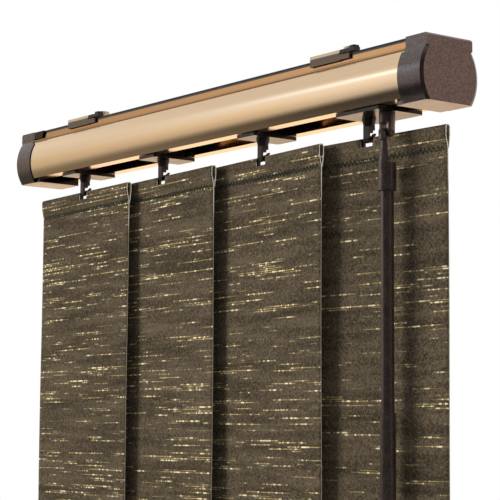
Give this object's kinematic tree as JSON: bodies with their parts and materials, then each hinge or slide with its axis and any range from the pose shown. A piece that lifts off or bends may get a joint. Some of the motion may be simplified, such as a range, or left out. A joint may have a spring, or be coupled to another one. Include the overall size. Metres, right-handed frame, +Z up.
{
  "type": "vertical blind",
  "caption": "Short wand-operated vertical blind: barrel headrail with end caps and ceiling clips, worm-driven carriers on a tilt rod, hooked fabric vanes and a jointed wand.",
  "frame": {"origin": "in the ceiling plane, midway between the two clips' screws", "axes": "+X along the rail towards the wand, +Y to the window, +Z up to the ceiling"},
  "size_m": [0.4412, 0.0444, 0.5061],
  "materials": {
    "champagne_aluminium": "satin champagne anodised",
    "dark_plastic": "dark brown moulded, fine texture",
    "bronze_steel": "bronze painted",
    "plain_aluminium": "mill finish",
    "spring_steel": "bright",
    "slub_fabric": "dark olive slub weave with gold threads"
  },
  "bodies": {
    "rail": {"headrail": "champagne_aluminium", "end_cap_left": "dark_plastic", "end_cap_right": "dark_plastic", "mounting_clip_left": "bronze_steel", "mounting_clip_right": "bronze_steel"},
    "lever_left": {"clip_lever_left": "dark_plastic"},
    "lever_right": {"clip_lever_right": "dark_plastic"},
    "rod": {"tilt_rod": "plain_aluminium"},
    "carriage_1": {"carrier_1": "dark_plastic", "spacer_link_1": "spring_steel"},
    "carriage_2": {"carrier_2": "dark_plastic", "spacer_link_2": "spring_steel"},
    "carriage_3": {"carrier_3": "dark_plastic", "spacer_link_3": "spring_steel"},
    "lead_carriage": {"lead_carrier": "dark_plastic"},
    "tilt_worm_1": {"worm_1": "dark_plastic"},
    "tilt_worm_2": {"worm_2": "dark_plastic"},
    "tilt_worm_3": {"worm_3": "dark_plastic"},
    "lead_tilt_worm": {"lead_worm": "dark_plastic"},
    "hung_vane_1": {"stem_1": "dark_plastic", "hanger_1": "dark_plastic", "vane_1": "slub_fabric", "vane_weight_1": "spring_steel"},
    "hung_vane_2": {"stem_2": "dark_plastic", "hanger_2": "dark_plastic", "vane_2": "slub_fabric", "vane_weight_2": "spring_steel"},
    "hung_vane_3": {"stem_3": "dark_plastic", "hanger_3": "dark_plastic", "vane_3": "slub_fabric", "vane_weight_3": "spring_steel"},
    "hung_vane_4": {"stem_4": "dark_plastic", "hanger_4": "dark_plastic", "vane_4": "slub_fabric", "vane_weight_4": "spring_steel"},
    "stub": {"wand_stub": "dark_plastic"},
    "cross": {"joint_cross": "dark_plastic"},
    "wand": {"wand_socket": "dark_plastic", "wand_rod": "dark_plastic", "wand_grip": "dark_plastic"}
  },
  "joints": [
    {"name": "clip_lever_left_swing", "type": "hinge", "parent": "rail", "child": "lever_left", "pos_m": [-0.137, 0, -0.0083], "axis": [0, 0, 1], "range_deg": [0, 90]},
    {"name": "clip_lever_right_swing", "type": "hinge", "parent": "rail", "child": "lever_right", "pos_m": [0.137, 0, -0.0083], "axis": [0, 0, 1], "range_deg": [0, 90]},
    {"name": "lead_traverse", "type": "slide", "parent": "rail", "child": "lead_carriage", "axis": [1, 0, 0], "range_m": [-0.08, 0]},
    {"name": "carriage_1_traverse", "type": "slide", "parent": "rail", "child": "carriage_1", "axis": [1, 0, 0], "range_m": [-0.0104, 0]},
    {"name": "carriage_2_traverse", "type": "slide", "parent": "rail", "child": "carriage_2", "axis": [1, 0, 0], "range_m": [-0.0416, 0]},
    {"name": "carriage_3_traverse", "type": "slide", "parent": "rail", "child": "carriage_3", "axis": [1, 0, 0], "range_m": [-0.08, 0]},
    {"name": "vane_4_tilt", "type": "hinge", "parent": "lead_carriage", "child": "hung_vane_4", "pos_m": [0.151, 0.0012, -0.03015], "axis": [0, 0, -1], "range_deg": [0, 166.15], "deforming": ["vane_4"]},
    {"name": "vane_1_tilt", "type": "hinge", "parent": "carriage_1", "child": "hung_vane_1", "pos_m": [-0.154, -0.003, -0.03015], "axis": [0, 0, -1], "range_deg": [0, 166.15]},
    {"name": "vane_2_tilt", "type": "hinge", "parent": "carriage_2", "child": "hung_vane_2", "pos_m": [-0.055, -0.003, -0.03015], "axis": [0, 0, -1], "range_deg": [0, 166.15]},
    {"name": "vane_3_tilt", "type": "hinge", "parent": "carriage_3", "child": "hung_vane_3", "pos_m": [0.055, -0.003, -0.03015], "axis": [0, 0, -1], "range_deg": [0, 166.15]},
    {"name": "rod_turn", "type": "hinge", "parent": "rail", "child": "rod", "pos_m": [0, 0.0082, -0.03015], "axis": [-1, 0, 0], "range_deg": [0, 2160]},
    {"name": "tilt_worm_1_turn", "type": "hinge", "parent": "carriage_1", "child": "tilt_worm_1", "pos_m": [-0.154, 0.0082, -0.03015], "axis": [-1, 0, 0], "range_deg": [0, 2160]},
    {"name": "tilt_worm_2_turn", "type": "hinge", "parent": "carriage_2", "child": "tilt_worm_2", "pos_m": [-0.055, 0.0082, -0.03015], "axis": [-1, 0, 0], "range_deg": [0, 2160]},
    {"name": "tilt_worm_3_turn", "type": "hinge", "parent": "carriage_3", "child": "tilt_worm_3", "pos_m": [0.055, 0.0082, -0.03015], "axis": [-1, 0, 0], "range_deg": [0, 2160]},
    {"name": "lead_tilt_worm_turn", "type": "hinge", "parent": "lead_carriage", "child": "lead_tilt_worm", "pos_m": [0.151, 0.0082, -0.03015], "axis": [-1, 0, 0], "range_deg": [0, 2160]},
    {"name": "wand_turn", "type": "hinge", "parent": "lead_carriage", "child": "stub", "pos_m": [0.175, -0.0062, -0.057], "axis": [0, 0, -1], "range_deg": [0, 2160]},
    {"name": "wand_front_swing", "type": "hinge", "parent": "stub", "child": "cross", "pos_m": [0.175, -0.0062, -0.057], "axis": [-1, 0, 0], "range_deg": [0, 35]},
    {"name": "wand_side_swing", "type": "hinge", "parent": "cross", "child": "wand", "pos_m": [0.175, -0.0062, -0.057], "axis": [0, -1, 0], "range_deg": [-8, 35]}
  ],
  "couplings": [
    {"joint": "carriage_1_traverse", "follows": "lead_traverse", "ratio": 0.13},
    {"joint": "carriage_2_traverse", "follows": "lead_traverse", "ratio": 0.52},
    {"joint": "carriage_3_traverse", "follows": "lead_traverse", "ratio": 1},
    {"joint": "vane_1_tilt", "follows": "vane_4_tilt", "ratio": 1},
    {"joint": "vane_2_tilt", "follows": "vane_4_tilt", "ratio": 1},
    {"joint": "vane_3_tilt", "follows": "vane_4_tilt", "ratio": 1},
    {"joint": "rod_turn", "follows": "vane_4_tilt", "ratio": 13},
    {"joint": "tilt_worm_1_turn", "follows": "vane_4_tilt", "ratio": 13},
    {"joint": "tilt_worm_2_turn", "follows": "vane_4_tilt", "ratio": 13},
    {"joint": "tilt_worm_3_turn", "follows": "vane_4_tilt", "ratio": 13},
    {"joint": "lead_tilt_worm_turn", "follows": "vane_4_tilt", "ratio": 13},
    {"joint": "wand_turn", "follows": "vane_4_tilt", "ratio": 13}
  ]
}
